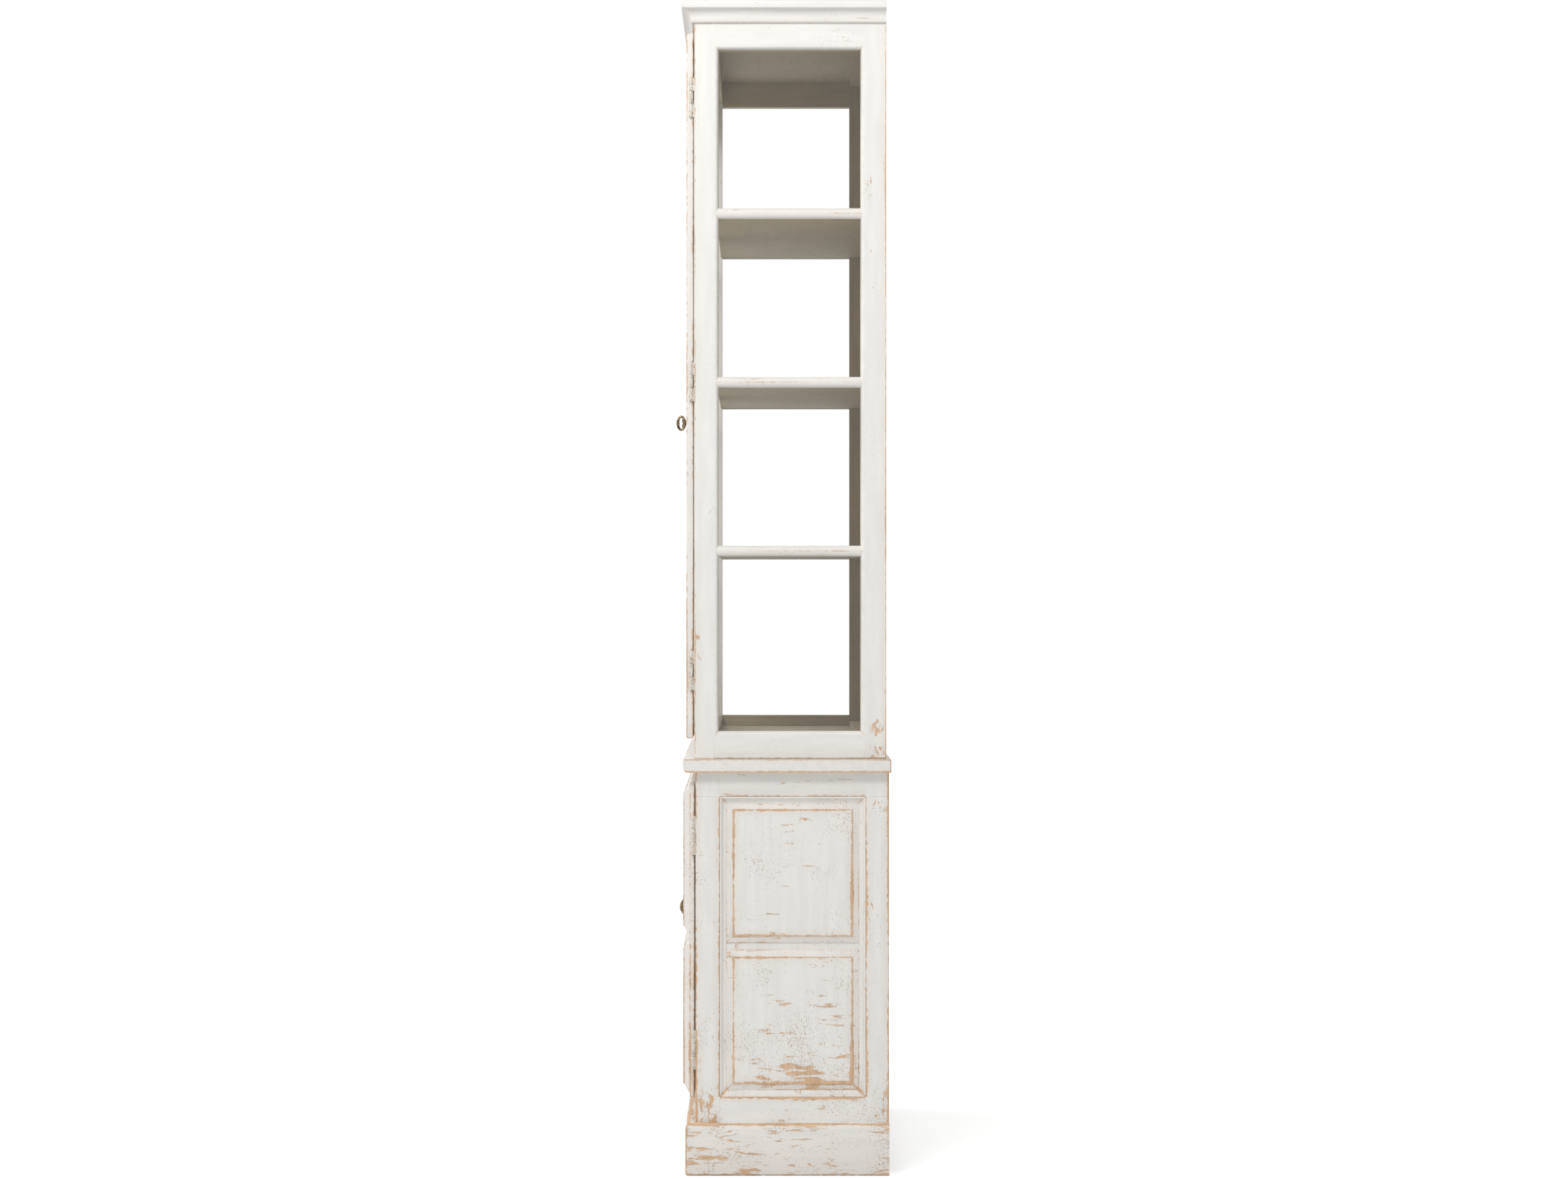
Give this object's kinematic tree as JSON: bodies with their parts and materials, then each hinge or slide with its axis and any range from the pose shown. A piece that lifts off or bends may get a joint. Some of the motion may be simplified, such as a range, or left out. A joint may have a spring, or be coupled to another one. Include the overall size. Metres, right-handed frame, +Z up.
{
  "type": "curio cabinet",
  "caption": "Tall two-part display cabinet: glazed upper case with shelves and a pair of glazed doors on a panelled lower case with a pair of raised-panel doors.",
  "frame": {"origin": "under the middle of the cabinet's bounding box, on the floor", "axes": "+X to the right of someone facing the doors, -Y out of the doors, +Z up"},
  "size_m": [1.091, 0.4282, 2.286],
  "materials": {
    "distressed_paint": "matt off-white paint, worn through to pale wood at edges",
    "interior_paint": "matt taupe paint on boards",
    "glass": "clear window glass",
    "hinge_metal": "steel butt hinges painted over",
    "key_brass": "dark antique brass",
    "lock_metal": "dull dark steel"
  },
  "bodies": {
    "case": {"upper_post_front_right": "distressed_paint", "upper_post_front_left": "distressed_paint", "upper_posts_back": "distressed_paint", "upper_front_rails": "distressed_paint", "upper_side_rails_right": "distressed_paint", "upper_side_rails_left": "distressed_paint", "upper_back_rails": "distressed_paint", "ceiling_board": "interior_paint", "upper_floor_board": "interior_paint", "upper_shelves": "interior_paint", "upper_back_panel": "interior_paint", "side_glass": "glass", "side_glazing_right": "distressed_paint", "side_glazing_left": "distressed_paint", "crown_front": "distressed_paint", "crown_sides": "distressed_paint", "lower_posts_front": "distressed_paint", "lower_posts_back": "distressed_paint", "lower_front_rails": "distressed_paint", "lower_side_rails": "distressed_paint", "side_boards": "distressed_paint", "side_panels_right": "distressed_paint", "side_panels_left": "distressed_paint", "side_mouldings": "distressed_paint", "lower_back_rails": "distressed_paint", "lower_back_panel": "interior_paint", "lower_bottom_board": "interior_paint", "lower_shelf": "interior_paint", "waist_board": "distressed_paint", "plinth_front": "distressed_paint", "plinth_sides": "distressed_paint", "hinge_leaves_case": "hinge_metal"},
    "upper_door_right": {"udoor_right_stiles": "distressed_paint", "udoor_right_rails": "distressed_paint", "udoor_right_glass": "glass", "udoor_right_glazing": "distressed_paint", "udoor_right_hinges": "hinge_metal", "upper_lock": "lock_metal"},
    "upper_door_left": {"udoor_left_stiles": "distressed_paint", "udoor_left_rails": "distressed_paint", "udoor_left_glass": "glass", "udoor_left_glazing": "distressed_paint", "udoor_left_hinges": "hinge_metal", "udoor_left_bolt_guides": "lock_metal"},
    "lower_door_right": {"ldoor_right_board": "distressed_paint", "ldoor_right_panels": "distressed_paint", "ldoor_right_hinges": "hinge_metal", "lower_lock": "lock_metal"},
    "lower_door_left": {"ldoor_left_board": "distressed_paint", "ldoor_left_panels": "distressed_paint", "ldoor_left_hinges": "hinge_metal", "ldoor_left_bolt_guide": "lock_metal"},
    "upper_key": {"upper_key": "key_brass"},
    "upper_lock_bolt": {"upper_lock_bolt": "lock_metal"},
    "lower_key": {"lower_key": "key_brass"},
    "lower_lock_bolt": {"lower_lock_bolt": "lock_metal"},
    "upper_left_top_bolt": {"udoor_top_bolt": "lock_metal"},
    "upper_left_bottom_bolt": {"udoor_bottom_bolt": "lock_metal"},
    "lower_left_top_bolt": {"ldoor_top_bolt": "lock_metal"}
  },
  "joints": [
    {"name": "upper_door_right_swing", "type": "hinge", "parent": "case", "child": "upper_door_right", "pos_m": [0.516, -0.17585, 1.53715], "axis": [0, 0, 1], "range_deg": [0, 110]},
    {"name": "upper_door_left_swing", "type": "hinge", "parent": "case", "child": "upper_door_left", "pos_m": [-0.516, -0.17585, 1.53715], "axis": [0, 0, -1], "range_deg": [0, 110]},
    {"name": "lower_door_right_swing", "type": "hinge", "parent": "case", "child": "lower_door_right", "pos_m": [0.516, -0.17135, 0.4555], "axis": [0, 0, 1], "range_deg": [0, 110]},
    {"name": "lower_door_left_swing", "type": "hinge", "parent": "case", "child": "lower_door_left", "pos_m": [-0.516, -0.17135, 0.4555], "axis": [0, 0, -1], "range_deg": [0, 110]},
    {"name": "upper_key_turn", "type": "hinge", "parent": "upper_door_right", "child": "upper_key", "pos_m": [0.02, -0.17135, 1.48295], "axis": [0, 1, 0], "range_deg": [0, 90]},
    {"name": "upper_lock_bolt_throw", "type": "slide", "parent": "upper_door_right", "child": "upper_lock_bolt", "axis": [-1, 0, 0], "range_m": [0, 0.012]},
    {"name": "lower_key_turn", "type": "hinge", "parent": "lower_door_right", "child": "lower_key", "pos_m": [0.02, -0.16885, 0.48407], "axis": [0, 1, 0], "range_deg": [0, 90]},
    {"name": "lower_lock_bolt_throw", "type": "slide", "parent": "lower_door_right", "child": "lower_lock_bolt", "axis": [-1, 0, 0], "range_m": [0, 0.012]},
    {"name": "upper_top_bolt_throw", "type": "slide", "parent": "upper_door_left", "child": "upper_left_top_bolt", "axis": [0, 0, 1], "range_m": [0, 0.014]},
    {"name": "upper_bottom_bolt_throw", "type": "slide", "parent": "upper_door_left", "child": "upper_left_bottom_bolt", "axis": [0, 0, -1], "range_m": [0, 0.014]},
    {"name": "lower_top_bolt_throw", "type": "slide", "parent": "lower_door_left", "child": "lower_left_top_bolt", "axis": [0, 0, 1], "range_m": [0, 0.014]}
  ],
  "couplings": [
    {"joint": "upper_key_turn", "follows": "upper_lock_bolt_throw", "rad_per_m": 130.89},
    {"joint": "lower_key_turn", "follows": "lower_lock_bolt_throw", "rad_per_m": 130.89}
  ]
}
